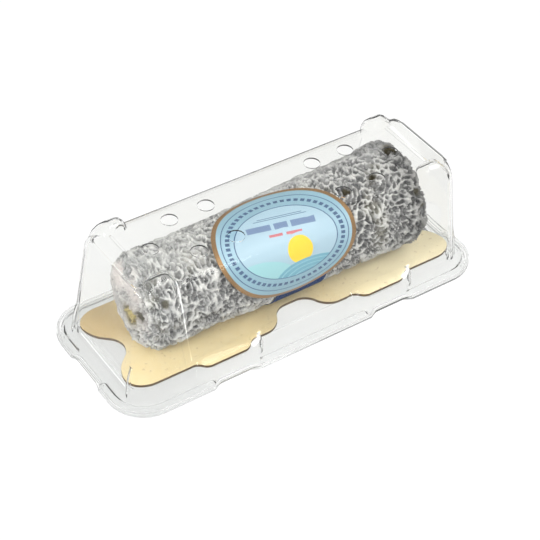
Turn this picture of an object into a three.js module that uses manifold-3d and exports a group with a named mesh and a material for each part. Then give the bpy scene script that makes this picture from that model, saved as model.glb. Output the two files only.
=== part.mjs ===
// An ash-coated goat's milk cheese log in its shut clear pack: a log with a straw through it,
// an oval paper label on a paper band, a gold card, a clear tray and a clear domed lid.
// Millimetres, +Z up, +X along the log. The origin is on the table, under the middle of the pack.
import * as THREE from 'three';
import { mergeVertices } from 'three/addons/utils/BufferGeometryUtils.js';
import Module from 'manifold-3d';

const wasm = await Module();
wasm.setup();

// Driving dimensions.
const SHEET = 0.7; // thickness of the clear plastic
const GAP = 0.3; // air between pieces that lie against each other

const RIM_X = 94.9; // the pack's rim, half of its length and of its width
const RIM_Y = 37.2;
const RIM_CORNER = 17.5;
const RIM_TOP = 3; // top of the lid's flat rim
const RIM_RECESS = 0.7; // how far the flat rim steps back between its wide stretches
const SKIRT_RECESS = 2; // and the skirt under it
const LIP_HEIGHT = 0.6; // the tray's foot, which the pack stands on
const LIP_INSET = 0.3;
const ROOT_Z = RIM_TOP - 1; // the lid's raised forms start inside its rim

const BEAD_INSET = 2.55; // centre of the raised beads, in from the rim's edge
const BEAD_TOP = 4.4;
const BEAD_HALF_FOOT = 2.2;
const BEAD_HALF_TOP = 1.1;

const FOOT_X = 87; // the lid's walls where they meet the rim
const FOOT_Y = 27.4;
const TOP_X = 80.35; // the end walls' upper edge
const SHOULDER_Y = 24.7; // the long walls where they start to round over
const SHOULDER_Z = 47.9;
const SHOULDER_RADIUS = 8;
const ROOF_Z = SHOULDER_Z + SHOULDER_RADIUS;
const ROOF_X = 71.6; // where the roof meets the raised strip at each end
const STRIP_Z = 56.4; // top of that strip
const BLOCK_PROUD = 0.5; // the end blocks stand out from the long walls
const BLOCK_CORNER = 5.5;
const BLOCK_FOOT_X = 56; // inner side of an end block, at the rim and under the roof
const BLOCK_TOP_X = 64;

const VENT_RADIUS = 3.75;
const VENT_ROWS = [27.6, 45.7]; // the vent holes' places along the roof, in two rows
const VENT_ROW_Y = 11.6;
const VENT_END_X = 62.1; // one more hole at each end, on the centre line

const PAD_START = 22.7; // low bulges at the foot of the long walls
const PAD_END = 58.5;
const PAD_Y = 31.8;

const DECK_X = 85; // the tray's raised deck
const DECK_Y = 25.4;
const DECK_TOP = 6.2;

const BOARD_X = 85.3;
const BOARD_Y = 26;
const BOARD_TAB = 4; // how far its tabs reach into the pads
const BOARD_THICK = 1.5;
const BOARD_BOTTOM = DECK_TOP + GAP;
const BOARD_TOP = BOARD_BOTTOM + BOARD_THICK;

const LOG_LEFT = -72; // the log's ends along X
const LOG_RIGHT = 68.5;
const LOG_RADIUS_LEFT = 20.9;
const LOG_RADIUS_RIGHT = 23;
const LOG_Y = -0.5;
const LOG_END_ROUND = 4.5;
const RIND_RELIEF = 0.55; // height of the rind's wrinkles
const RIND_WAVE = 6.5; // their spacing
const LOG_SWELL = 0.3; // slow unevenness of the whole log
const SWELL_WAVE = 45;

const STRAW_Y = 0.6;
const STRAW_Z = 23;
const STRAW_RADIUS = 1.9;
const STRAW_BORE = 1.2;
const STRAW_SETBACK = 2.5; // the straw's ends lie this far inside the log
const PIT_RADIUS = 4.6; // the rind is sunk round the straw's ends
const PIT_DEPTH = 5;

const WRAP_Z = BOARD_TOP + GAP + 21.9; // axis of the band and the label round the log
const BAND_INNER = 22.9;
const BAND_THICK = 0.3;
const BAND_MIDDLE_X = 0;
const BAND_HALF_WIDTH = 13;
const BAND_START = 60; // degrees from straight up, towards the front
const BAND_END = 148;
const LABEL_INNER = BAND_INNER + BAND_THICK + GAP;
const LABEL_THICK = 0.4;
const LABEL_X = -5.1;
const LABEL_ANGLE = 43.4; // degrees from straight up, towards the front
const LABEL_HALF_LENGTH = 34.2;
const LABEL_HALF_ARC = 26.2;
const LABEL_TURN = 9.8; // degrees, the oval's right end is the lower one

const radians = THREE.MathUtils.degToRad;
const lerp = THREE.MathUtils.lerp;

// Turns a closed three.js geometry into a solid for cutting and joining, and back.
function toSolid(geometry) {
  const bare = geometry.clone();
  bare.deleteAttribute('normal');
  bare.deleteAttribute('uv');
  const merged = mergeVertices(bare, 1e-4);
  return new wasm.Manifold(new wasm.Mesh({
    numProp: 3,
    vertProperties: new Float32Array(merged.attributes.position.array),
    triVerts: new Uint32Array(merged.index.array),
  }));
}

function toGeometry(solid) {
  const mesh = solid.getMesh();
  const geometry = new THREE.BufferGeometry();
  geometry.setAttribute('position', new THREE.BufferAttribute(new Float32Array(mesh.vertProperties), 3));
  geometry.setIndex(new THREE.BufferAttribute(new Uint32Array(mesh.triVerts), 1));
  geometry.computeVertexNormals();
  return geometry;
}

const join = (solids) => solids.reduce((whole, solid) => whole.add(solid));

function indexedGeometry(points, index) {
  const geometry = new THREE.BufferGeometry();
  const numbers = points.flatMap((p) => [p.x, p.y, p.z]);
  geometry.setAttribute('position', new THREE.Float32BufferAttribute(numbers, 3));
  geometry.setIndex(index);
  return geometry;
}

// A solid through level outlines, lowest first, each with the same number of points.
function loft(outlines) {
  const count = outlines[0].length;
  const index = [];
  for (let level = 0; level + 1 < outlines.length; level += 1) {
    for (let i = 0; i < count; i += 1) {
      const a = level * count + i;
      const b = level * count + ((i + 1) % count);
      index.push(a, b, b + count, a, b + count, a + count);
    }
  }
  const cap = (outline, start, up) => {
    const flat = outline.map((p) => new THREE.Vector2(p.x, p.y));
    for (const [a, b, c] of THREE.ShapeUtils.triangulateShape(flat, [])) {
      const facesUp = THREE.ShapeUtils.area([flat[a], flat[b], flat[c]]) > 0;
      index.push(...(facesUp === up ? [start + a, start + b, start + c] : [start + a, start + c, start + b]));
    }
  };
  cap(outlines[0], 0, false);
  cap(outlines.at(-1), (outlines.length - 1) * count, true);
  return toSolid(indexedGeometry(outlines.flat(), index));
}

// A level rectangle with rounded corners, anticlockwise.
function roundedBox([x0, x1], [y0, y1], z, radius, steps = 4) {
  const corners = [
    [x1 - radius, y1 - radius, 0],
    [x0 + radius, y1 - radius, 90],
    [x0 + radius, y0 + radius, 180],
    [x1 - radius, y0 + radius, 270],
  ];
  return corners.flatMap(([x, y, start]) => Array.from({ length: steps + 1 }, (_, i) => {
    const angle = radians(start + (90 * i) / steps);
    return new THREE.Vector3(x + radius * Math.cos(angle), y + radius * Math.sin(angle), z);
  }));
}

function disc(x, y, radius, z, sides = 12) {
  return Array.from({ length: sides }, (_, i) => {
    const angle = (2 * Math.PI * i) / sides;
    return new THREE.Vector3(x + radius * Math.cos(angle), y + radius * Math.sin(angle), z);
  });
}

// Repeats a quarter outline, which runs from the X axis to the Y axis, in all four quarters.
function fourQuarters(quarter, z) {
  const inner = quarter.slice(1, -1);
  const first = quarter[0];
  const last = quarter.at(-1);
  const back = [...inner].reverse();
  const flip = (points, sx, sy) => points.map(([x, y]) => [sx * x, sy * y]);
  const all = [
    first, ...inner, last,
    ...flip(back, -1, 1), [-first[0], first[1]],
    ...flip(inner, -1, -1), [last[0], -last[1]],
    ...flip(back, 1, -1),
  ];
  return all.map(([x, y]) => new THREE.Vector3(x, y, z));
}

// The rim's outline: wide at the corners and the middle, stepped back between them.
function rimOutline(inset, z, recess = SKIRT_RECESS) {
  const wideX = RIM_X - inset;
  const wideY = RIM_Y - inset;
  const radius = RIM_CORNER - inset;
  const corner = Array.from({ length: 9 }, (_, i) => {
    const angle = radians((90 * i) / 8);
    return [wideX - radius + radius * Math.cos(angle), wideY - radius + radius * Math.sin(angle)];
  });
  const quarter = [
    [wideX - recess, 0],
    [wideX - recess, 8.5],
    [wideX, 11.5],
    ...corner,
    [53, wideY],
    [49, wideY - recess],
    [33.5, wideY - recess],
    [29.5, wideY],
    [0, wideY],
  ];
  return fourQuarters(quarter, z);
}

// A level band of even width along a path, with round ends.
function ribbon(path, halfWidth, z, endSteps = 4) {
  const normals = path.map((point, i) => {
    const before = path[Math.max(i - 1, 0)];
    const after = path[Math.min(i + 1, path.length - 1)];
    const along = after.clone().sub(before).normalize();
    return new THREE.Vector2(along.y, -along.x);
  });
  const end = (point, normal, start) => Array.from({ length: endSteps - 1 }, (_, i) => {
    const turn = start + (Math.PI * (i + 1)) / endSteps;
    const turned = normal.clone().rotateAround(new THREE.Vector2(), turn);
    return point.clone().addScaledVector(turned, halfWidth);
  });
  const right = path.map((point, i) => point.clone().addScaledVector(normals[i], halfWidth));
  const left = path.map((point, i) => point.clone().addScaledVector(normals[i], -halfWidth)).reverse();
  const outline = [
    ...right, ...end(path.at(-1), normals.at(-1), 0),
    ...left, ...end(path[0], normals[0], Math.PI),
  ];
  return outline.map((p) => new THREE.Vector3(p.x, p.y, z));
}

// The raised beads on the rim: one round each corner and one along the middle of each long side.
function beads(inset) {
  const radius = RIM_CORNER - BEAD_INSET;
  const levels = [[ROOT_Z, BEAD_HALF_FOOT], [RIM_TOP, BEAD_HALF_FOOT], [BEAD_TOP, BEAD_HALF_TOP]];
  const beadY = RIM_Y - BEAD_INSET;
  const corner = [new THREE.Vector2(RIM_X - BEAD_INSET, 12)];
  for (let i = 0; i <= 6; i += 1) {
    const angle = radians(15 * i);
    corner.push(new THREE.Vector2(
      RIM_X - RIM_CORNER + radius * Math.cos(angle),
      RIM_Y - RIM_CORNER + radius * Math.sin(angle),
    ));
  }
  corner.push(new THREE.Vector2(53, beadY));
  const middle = [new THREE.Vector2(27, beadY), new THREE.Vector2(-27, beadY)];
  const solid = (path) => loft(levels.map(([z, half]) => ribbon(path, half - inset, z - inset)));
  const mirrored = (path, sx, sy) => {
    const flipped = path.map((p) => new THREE.Vector2(sx * p.x, sy * p.y));
    return sx * sy < 0 ? flipped.reverse() : flipped;
  };
  return [
    solid(mirrored(corner, 1, 1)), solid(mirrored(corner, -1, 1)),
    solid(mirrored(corner, -1, -1)), solid(mirrored(corner, 1, -1)),
    solid(middle), solid(mirrored(middle, -1, -1)),
  ];
}

// How far a lid wall has leaned in at a height, from its foot value to its top value.
const lean = (foot, top, z, topZ = SHOULDER_Z) => lerp(foot, top, (z - RIM_TOP) / (topZ - RIM_TOP));

// Heights and half-widths of the lid's cross-section, up the wall and round the shoulder.
function wallProfile(proud, inset, steps = 5) {
  const straight = [[ROOT_Z, FOOT_Y + proud - inset], [SHOULDER_Z, SHOULDER_Y + proud - inset]];
  const radius = SHOULDER_RADIUS - inset;
  const round = Array.from({ length: steps }, (_, i) => {
    const angle = radians((90 * (i + 1)) / steps);
    return [
      SHOULDER_Z + radius * Math.sin(angle),
      SHOULDER_Y + proud - SHOULDER_RADIUS + radius * Math.cos(angle),
    ];
  });
  return [...straight, ...round];
}

const lidMiddle = (inset) => loft(wallProfile(0, inset).map(([z, half]) => (
  roundedBox([inset - ROOF_X, ROOF_X - inset], [-half, half], z, 0.5, 1)
)));

// The taller blocks at the lid's ends, with the raised strip across their tops.
function lidBlock(side, inset) {
  const outlines = wallProfile(BLOCK_PROUD, inset).slice(0, -1).map(([z, half]) => {
    const outer = lean(FOOT_X, TOP_X, z, STRIP_Z) - inset;
    const inner = lean(BLOCK_FOOT_X, BLOCK_TOP_X, z, ROOF_Z) + inset;
    return roundedBox([inner, outer], [-half, half], z, BLOCK_CORNER);
  });
  const stripHalf = 19 - inset;
  const stripOuter = TOP_X - inset;
  const stripInner = ROOF_X + inset;
  const stripBase = ROOF_Z - inset - 0.1;
  const topHalf = stripHalf - 0.8;
  outlines.push(roundedBox([stripInner - 0.2, stripOuter], [-stripHalf, stripHalf], stripBase, 2.6));
  outlines.push(roundedBox([stripInner, stripOuter - 0.3], [-topHalf, topHalf], STRIP_Z - inset, 2));
  return mirror(loft(outlines), side, 1);
}

// The round-topped stacking lugs at the lid's four corners.
function lug(sideX, sideY, inset) {
  const levels = [
    [44, 63, 79.5, 14.9, 25, 3.4],
    [51, 62.6, 78.8, 14.7, 25, 3.4],
    [54.5, 62.6, 77.2, 14.7, 24.6, 3.4],
    [57.2, 63.2, 75.2, 15.2, 23.4, 3],
    [58.9, 64.6, 73.4, 16.2, 21.8, 2.4],
    [59.6, 66.4, 71.8, 17.2, 20.6, 1.5],
  ];
  const outlines = levels.map(([z, x0, x1, y0, y1, radius]) => (
    roundedBox([x0 + inset, x1 - inset], [y0 + inset, y1 - inset], z - inset, radius - inset, 3)
  ));
  return mirror(loft(outlines), sideX, sideY);
}

// The upright ribs at the feet of the lid's corners.
function cornerRib(sideX, sideY, inset) {
  const levels = [[ROOT_Z, 85, 22.9, 3.1], [12, 84, 22.5, 2.9], [18.5, 83.4, 22.1, 2]];
  const outlines = levels.map(([z, x, y, radius]) => disc(x, y, radius - inset, z - inset));
  return mirror(loft(outlines), sideX, sideY);
}

// The low bulges at the foot of the long walls, which hold the card's tabs.
function pad(sideX, sideY, inset) {
  const levels = [
    [ROOT_Z, 0, PAD_Y, 5],
    [8, 0.2, PAD_Y - 0.2, 5],
    [10.6, 1.4, PAD_Y - 2.2, 4],
    [12.4, 3.4, FOOT_Y - 1.4, 3],
  ];
  const outlines = levels.map(([z, shrink, y, radius]) => roundedBox(
    [PAD_START + shrink + inset, PAD_END - shrink - inset],
    [15, y - inset],
    z - inset,
    radius - inset,
  ));
  return mirror(loft(outlines), sideX, sideY);
}

function mirror(solid, sideX, sideY) {
  const flippedX = sideX < 0 ? solid.mirror([1, 0, 0]) : solid;
  return sideY < 0 ? flippedX.mirror([0, 1, 0]) : flippedX;
}

const SIDES = [-1, 1];
const CORNERS = SIDES.flatMap((sideX) => SIDES.map((sideY) => [sideX, sideY]));

// The lid's outer form, or with an inset the hollow inside it.
function lidForm(inset) {
  const bottom = inset > 0 ? 0 : LIP_HEIGHT + GAP;
  const flange = loft([rimOutline(0, RIM_TOP - SHEET, RIM_RECESS), rimOutline(0, RIM_TOP, RIM_RECESS)]);
  return join([
    loft([rimOutline(inset, bottom), rimOutline(inset, RIM_TOP - inset)]),
    ...(inset > 0 ? [] : [flange]),
    ...beads(inset),
    lidMiddle(inset),
    ...SIDES.map((side) => lidBlock(side, inset)),
    ...CORNERS.flatMap(([sideX, sideY]) => [
      lug(sideX, sideY, inset),
      cornerRib(sideX, sideY, inset),
      pad(sideX, sideY, inset),
    ]),
  ]);
}

function makeLid() {
  const places = CORNERS.flatMap(([sideX, sideY]) => VENT_ROWS.map((x) => [sideX * x, sideY * VENT_ROW_Y]));
  places.push([-VENT_END_X, 0], [VENT_END_X, 0]);
  const vents = places.map(([x, y]) => {
    const hole = new THREE.CylinderGeometry(VENT_RADIUS, VENT_RADIUS, 4 * SHEET, 16);
    hole.rotateX(Math.PI / 2);
    hole.translate(x, y, ROOF_Z);
    return toSolid(hole);
  });
  return toGeometry(lidForm(0).subtract(lidForm(SHEET)).subtract(join(vents)));
}

function makeTray() {
  const skirt = SHEET + GAP; // the tray's skirt stands inside the lid's
  const flangeTop = RIM_TOP - SHEET - GAP;
  const deckLevel = (x, y, z) => roundedBox([-x, x], [-y, y], z, 4);
  const deck = (inset, bottom) => loft([
    deckLevel(DECK_X + 0.6 - inset, DECK_Y + 0.6 - inset, bottom),
    deckLevel(DECK_X - inset, DECK_Y - inset, DECK_TOP - inset),
  ]);
  const outside = join([
    loft([rimOutline(LIP_INSET, 0), rimOutline(LIP_INSET, LIP_HEIGHT)]),
    loft([rimOutline(skirt, 0), rimOutline(skirt, flangeTop)]),
    deck(0, flangeTop - SHEET / 2),
  ]);
  const hollow = join([
    loft([rimOutline(skirt + SHEET, -1), rimOutline(skirt + SHEET, flangeTop - SHEET)]),
    deck(SHEET, flangeTop - 2 * SHEET),
  ]);
  return toGeometry(outside.subtract(hollow));
}

// The gold card: a hollow cut into each end and each long side, and two tabs on each long side.
function makeBoard() {
  const steps = 6;
  const sCurve = ([x0, y0], [x1, y1], upright) => {
    const middleX = (x0 + x1) / 2;
    const middleY = (y0 + y1) / 2;
    const pulls = upright ? [[x0, middleY], [x1, middleY]] : [[middleX, y0], [middleX, y1]];
    const points = [[x0, y0], ...pulls, [x1, y1]].map((p) => new THREE.Vector2(...p));
    return new THREE.CubicBezierCurve(...points).getPoints(steps).map((p) => [p.x, p.y]);
  };
  const tab = BOARD_Y + BOARD_TAB;
  const corner = 10;
  const arc = Array.from({ length: 6 }, (_, i) => {
    const angle = radians(18 * i);
    return [BOARD_X - corner + corner * Math.cos(angle), BOARD_Y - corner + corner * Math.sin(angle)];
  });
  const quarter = [
    [BOARD_X - 10.5, 0],
    ...sCurve([BOARD_X - 10.5, 1], [BOARD_X, 12.5], false),
    ...arc,
    ...sCurve([56.5, BOARD_Y], [51.5, tab], false),
    ...sCurve([31.5, tab], [26.5, BOARD_Y], false),
    ...sCurve([17, BOARD_Y], [3, BOARD_Y - 10.6], true),
    [0, BOARD_Y - 10.6],
  ];
  return toGeometry(loft([fourQuarters(quarter, BOARD_BOTTOM), fourQuarters(quarter, BOARD_TOP)]));
}

// Repeatable random numbers from 0 to 1.
function randomFrom(seed) {
  let state = seed;
  return () => {
    state = (state * 1664525 + 1013904223) % 4294967296;
    return state / 4294967296;
  };
}

// An uneven field made of many plane waves of one spacing, about -1 to 1.
function waveField(spacing, count, seed) {
  const random = randomFrom(seed);
  const waves = Array.from({ length: count }, () => {
    const height = 2 * random() - 1;
    const turn = 2 * Math.PI * random();
    const flat = Math.sqrt(1 - height * height);
    const direction = new THREE.Vector3(flat * Math.cos(turn), flat * Math.sin(turn), height);
    return { direction: direction.multiplyScalar((2 * Math.PI) / spacing), phase: 2 * Math.PI * random() };
  });
  return (point) => {
    const sum = waves.reduce((total, wave) => total + Math.cos(wave.direction.dot(point) + wave.phase), 0);
    return Math.tanh(sum / Math.sqrt(count / 2));
  };
}

const logRadius = (x) => lerp(LOG_RADIUS_LEFT, LOG_RADIUS_RIGHT, (x - LOG_LEFT) / (LOG_RIGHT - LOG_LEFT));

// Keeps the rind under the label and the band, off the card and off the roof.
function settle(point) {
  const lowest = BOARD_TOP + GAP;
  const highest = ROOF_Z - SHEET - GAP;
  const reach = BAND_INNER - GAP - 0.05;
  const angle = Math.atan2(LOG_Y - point.y, point.z - WRAP_Z);
  const distance = Math.hypot(LOG_Y - point.y, point.z - WRAP_Z);
  const underPaper = Math.abs(point.x - LABEL_X) < LABEL_HALF_LENGTH + 4;
  if (underPaper && angle > radians(-30) && angle < radians(155) && distance > reach) {
    point.y = LOG_Y - reach * Math.sin(angle);
    point.z = WRAP_Z + reach * Math.cos(angle);
  }
  point.z = Math.min(Math.max(point.z, lowest), highest);
  return point;
}

// The log, with its wrinkled rind, drawn as rings from the middle of one end to the other.
function makeCheese() {
  const sides = 43;
  const wrinkle = waveField(RIND_WAVE, 40, 11);
  const swell = waveField(SWELL_WAVE, 12, 5);
  const stations = [];
  const faceShares = [0.3, 0.62, 0.88];
  const roundAngles = [0, 30, 60];
  const length = LOG_RIGHT - LOG_LEFT - 2 * LOG_END_ROUND;
  const along = 42;
  const endRings = (x, sign) => [
    ...faceShares.map((share) => [x, share * (logRadius(x) - LOG_END_ROUND)]),
    ...roundAngles.map((degrees) => [
      x + sign * LOG_END_ROUND * (1 - Math.cos(radians(degrees))),
      logRadius(x) - LOG_END_ROUND * (1 - Math.sin(radians(degrees))),
    ]),
  ];
  stations.push(...endRings(LOG_LEFT, 1));
  for (let i = 0; i <= along; i += 1) {
    const x = LOG_LEFT + LOG_END_ROUND + (length * i) / along;
    stations.push([x, logRadius(x)]);
  }
  stations.push(...endRings(LOG_RIGHT, -1).reverse());

  const pointAt = (x, radius, angle, outward) => {
    const centreZ = BOARD_TOP + GAP + logRadius(x);
    const smooth = new THREE.Vector3(x, LOG_Y - radius * Math.sin(angle), centreZ + radius * Math.cos(angle));
    const lift = RIND_RELIEF * wrinkle(smooth) + LOG_SWELL * swell(smooth);
    return settle(smooth.addScaledVector(outward, lift));
  };
  const points = [];
  stations.forEach(([x, radius], ring) => {
    const full = logRadius(x);
    const rim = THREE.MathUtils.clamp((radius - full + LOG_END_ROUND) / LOG_END_ROUND, 0, 1);
    const end = ring < stations.length / 2 ? -1 : 1;
    for (let i = 0; i < sides; i += 1) {
      const angle = (2 * Math.PI * (i + (ring % 2) / 2)) / sides;
      const outward = new THREE.Vector3(
        end * Math.sqrt(1 - rim * rim),
        -rim * Math.sin(angle),
        rim * Math.cos(angle),
      );
      points.push(pointAt(x, radius, angle, outward));
    }
  });
  const rings = stations.length;
  const first = points.push(pointAt(LOG_LEFT, 0, 0, new THREE.Vector3(-1, 0, 0))) - 1;
  const last = points.push(pointAt(LOG_RIGHT, 0, 0, new THREE.Vector3(1, 0, 0))) - 1;
  const index = [];
  for (let i = 0; i < sides; i += 1) {
    const next = (i + 1) % sides;
    index.push(first, next, i);
    index.push(last, (rings - 1) * sides + i, (rings - 1) * sides + next);
  }
  for (let ring = 0; ring + 1 < rings; ring += 1) {
    for (let i = 0; i < sides; i += 1) {
      const next = (i + 1) % sides;
      const [a, b] = [ring * sides + i, ring * sides + next];
      const [c, d] = [a + sides, b + sides];
      index.push(...(ring % 2 ? [a, b, d, a, d, c] : [a, b, c, b, d, c]));
    }
  }
  const log = toSolid(indexedGeometry(points, index));
  return toGeometry(log.subtract(strawSpace()));
}

// The room for the straw through the log, widened to a pit at each end.
function strawSpace() {
  const radius = STRAW_RADIUS + GAP;
  const bore = new THREE.CylinderGeometry(radius, radius, 2 * (LOG_RIGHT - LOG_LEFT), 12);
  bore.rotateZ(Math.PI / 2);
  bore.translate(0, STRAW_Y, STRAW_Z);
  const pits = [[LOG_LEFT, -1], [LOG_RIGHT, 1]].map(([x, side]) => {
    const overshoot = 2; // reaches past the rind's wrinkles
    const grow = (PIT_RADIUS - radius) / PIT_DEPTH;
    const wide = PIT_RADIUS + grow * overshoot;
    const pit = new THREE.CylinderGeometry(wide, radius + 0.01, PIT_DEPTH + overshoot, 12);
    pit.rotateZ((-side * Math.PI) / 2);
    pit.translate(x + (side * (overshoot - PIT_DEPTH)) / 2, STRAW_Y, STRAW_Z);
    return toSolid(pit);
  });
  return join([toSolid(bore), ...pits]);
}

function makeStraw() {
  const half = (LOG_RIGHT - LOG_LEFT) / 2 - STRAW_SETBACK;
  const profile = [
    [STRAW_BORE, -half],
    [STRAW_RADIUS, -half],
    [STRAW_RADIUS, half],
    [STRAW_BORE, half],
    [STRAW_BORE, -half],
  ];
  const tube = new THREE.LatheGeometry(profile.map(([r, y]) => new THREE.Vector2(r, y)), 12);
  tube.rotateZ(Math.PI / 2);
  tube.translate((LOG_LEFT + LOG_RIGHT) / 2, STRAW_Y, STRAW_Z);
  return toGeometry(toSolid(tube));
}

// A closed thin sheet. place gives a point from two shares of its size, 0 to 1,
// and the side, 0 inside and 1 outside.
function sheet(place, columns, rows) {
  const points = [];
  const at = (column, row, side) => (side * (rows + 1) + row) * (columns + 1) + column;
  for (const side of [0, 1]) {
    for (let row = 0; row <= rows; row += 1) {
      for (let column = 0; column <= columns; column += 1) {
        points.push(place(column / columns, row / rows, side));
      }
    }
  }
  const index = [];
  const quad = (a, b, c, d) => index.push(a, b, c, a, c, d);
  for (let row = 0; row < rows; row += 1) {
    for (let column = 0; column < columns; column += 1) {
      const corners = [[column, row], [column + 1, row], [column + 1, row + 1], [column, row + 1]];
      quad(...corners.map(([c, r]) => at(c, r, 0)));
      quad(...corners.reverse().map(([c, r]) => at(c, r, 1)));
    }
    quad(at(0, row, 0), at(0, row + 1, 0), at(0, row + 1, 1), at(0, row, 1));
    quad(at(columns, row + 1, 0), at(columns, row, 0), at(columns, row, 1), at(columns, row + 1, 1));
  }
  for (let column = 0; column < columns; column += 1) {
    quad(at(column + 1, 0, 0), at(column, 0, 0), at(column, 0, 1), at(column + 1, 0, 1));
    quad(at(column, rows, 0), at(column + 1, rows, 0), at(column + 1, rows, 1), at(column, rows, 1));
  }
  return indexedGeometry(points, index);
}

// A point wrapped round the log: a place along X, an angle towards the front and a radius.
const wrap = (x, angle, radius) => new THREE.Vector3(
  x,
  LOG_Y - radius * Math.sin(angle),
  WRAP_Z + radius * Math.cos(angle),
);

function makeBand() {
  return sheet((u, v, side) => wrap(
    BAND_MIDDLE_X + BAND_HALF_WIDTH * (2 * u - 1),
    radians(lerp(BAND_START, BAND_END, v)),
    BAND_INNER + side * BAND_THICK,
  ), 2, 14);
}

// The oval label: a square grid pressed into a disc, stretched to the oval and wrapped round the log.
function makeLabel() {
  const outer = LABEL_INNER + LABEL_THICK;
  const turn = radians(LABEL_TURN);
  return sheet((u, v, side) => {
    const [s, t] = [2 * u - 1, 2 * v - 1];
    const along = LABEL_HALF_LENGTH * s * Math.sqrt(1 - (t * t) / 2);
    const round = LABEL_HALF_ARC * t * Math.sqrt(1 - (s * s) / 2);
    const x = along * Math.cos(turn) - round * Math.sin(turn);
    const arc = along * Math.sin(turn) + round * Math.cos(turn);
    return wrap(LABEL_X + x, radians(LABEL_ANGLE) + arc / outer, LABEL_INNER + side * LABEL_THICK);
  }, 14, 14);
}

const clear = new THREE.MeshStandardMaterial({
  color: 0xe9edeb,
  roughness: 0.08,
  metalness: 0,
  transparent: true,
  opacity: 0.3,
});
const clearTray = clear.clone();
const gold = new THREE.MeshStandardMaterial({ color: 0xd9bd7c, roughness: 0.4, metalness: 0.3 });
const rind = new THREE.MeshStandardMaterial({ color: 0xa3a29c, roughness: 0.95, metalness: 0 });
const rye = new THREE.MeshStandardMaterial({ color: 0xb09a4e, roughness: 0.7, metalness: 0 });
const navy = new THREE.MeshStandardMaterial({ color: 0x12306b, roughness: 0.5, metalness: 0 });
const paper = new THREE.MeshStandardMaterial({ color: 0xa9dbe6, roughness: 0.35, metalness: 0 });

const pack = new THREE.Group();
function addMesh(name, geometry, material) {
  const mesh = new THREE.Mesh(geometry, material);
  mesh.name = name;
  pack.add(mesh);
}

addMesh('tray', makeTray(), clearTray);
addMesh('lid', makeLid(), clear);
addMesh('board', makeBoard(), gold);
addMesh('cheese', makeCheese(), rind);
addMesh('straw', makeStraw(), rye);
addMesh('band', makeBand(), navy);
addMesh('label', makeLabel(), paper);

export default pack;
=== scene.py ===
# %% [markdown]
# # A goat cheese log in its shut clear pack
# The object is a ripened goat cheese log with a wrinkled grey ash rind. A straw runs
# through it, an oval label sits on a paper band round it, and it lies on a gold card.
# A clear thermoformed tray and a clear lid with vent holes close round them.
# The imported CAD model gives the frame, and every piece here goes where that model says.

# %% The frame
import math

import bmesh
import bpy
import numpy as np
from mathutils import Matrix, Vector


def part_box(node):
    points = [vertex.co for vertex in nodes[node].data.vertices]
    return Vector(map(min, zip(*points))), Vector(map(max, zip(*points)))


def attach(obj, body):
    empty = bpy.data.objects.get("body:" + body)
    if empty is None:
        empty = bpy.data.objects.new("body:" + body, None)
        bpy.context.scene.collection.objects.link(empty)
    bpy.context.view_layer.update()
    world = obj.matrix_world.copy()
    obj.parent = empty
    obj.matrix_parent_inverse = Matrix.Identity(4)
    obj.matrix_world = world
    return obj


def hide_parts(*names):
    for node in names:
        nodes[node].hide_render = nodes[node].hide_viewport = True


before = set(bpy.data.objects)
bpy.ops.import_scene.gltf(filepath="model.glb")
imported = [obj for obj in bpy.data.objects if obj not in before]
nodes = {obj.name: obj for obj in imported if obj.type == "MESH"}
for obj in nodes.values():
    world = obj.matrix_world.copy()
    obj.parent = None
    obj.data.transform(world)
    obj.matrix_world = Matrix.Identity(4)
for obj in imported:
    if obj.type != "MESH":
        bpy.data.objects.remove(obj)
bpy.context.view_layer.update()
board_low, board_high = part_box("board")
cheese_low, cheese_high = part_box("cheese")
print("CAD nodes:", ", ".join(sorted(nodes)))

# %% [markdown]
# ## Camera
# The photograph looks down on the pack's front left corner from about 42 degrees, with
# a long lens. The camera is placed on a line from the point that it looks at, turned by
# an azimuth, an elevation and a slight roll, because those are the numbers that a
# photographer would change.

# %% The camera
MM = 0.001
CAMERA_AZIMUTH = math.radians(-36.87)
CAMERA_ELEVATION = math.radians(42.07)
CAMERA_ROLL = math.radians(3.48)
CAMERA_DISTANCE = 690 * MM
CAMERA_AIM = Vector((0.04, 0.6, 14.17)) * MM
LENS_MM = 103.68
SENSOR_MM = 36

turn = (
    Matrix.Rotation(CAMERA_AZIMUTH, 4, "Z")
    @ Matrix.Rotation(math.pi / 2 - CAMERA_ELEVATION, 4, "X")
    @ Matrix.Rotation(CAMERA_ROLL, 4, "Z")
)
step_back = Matrix.Translation((0, 0, CAMERA_DISTANCE))
camera_data = bpy.data.cameras.new("camera")
camera_data.lens = LENS_MM
camera_data.sensor_width = SENSOR_MM
camera_data.clip_start = 10 * MM
camera = bpy.data.objects.new("camera", camera_data)
camera.matrix_world = Matrix.Translation(CAMERA_AIM) @ turn @ step_back
bpy.context.scene.collection.objects.link(camera)
bpy.context.scene.camera = camera
print("camera at", [round(value, 4) for value in camera.matrix_world.translation])

# %% [markdown]
# ## Working helpers
# An operator acts on everything that is selected, so each step first selects only the
# object that it works on. A finished piece keeps its place in its mesh, with its object
# at the origin, so that patterns on Object coordinates stay where they are.


# %% Adding, selecting and applying
def new_piece(name, add_primitive, **settings):
    """Adds a primitive with nothing else selected, and names it."""
    bpy.ops.object.select_all(action="DESELECT")
    add_primitive(**settings)
    piece = bpy.context.object
    piece.name = name
    piece.data.name = name
    return piece


def pick(piece):
    """Makes one object the only selected one."""
    if bpy.context.object and bpy.context.object.mode != "OBJECT":
        bpy.ops.object.mode_set(mode="OBJECT")
    bpy.ops.object.select_all(action="DESELECT")
    piece.select_set(True)
    bpy.context.view_layer.objects.active = piece


def use_modifier(piece, kind, **settings):
    pick(piece)
    modifier = piece.modifiers.new(kind.lower(), kind)
    for key, value in settings.items():
        setattr(modifier, key, value)
    bpy.ops.object.modifier_apply(modifier=modifier.name)


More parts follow.
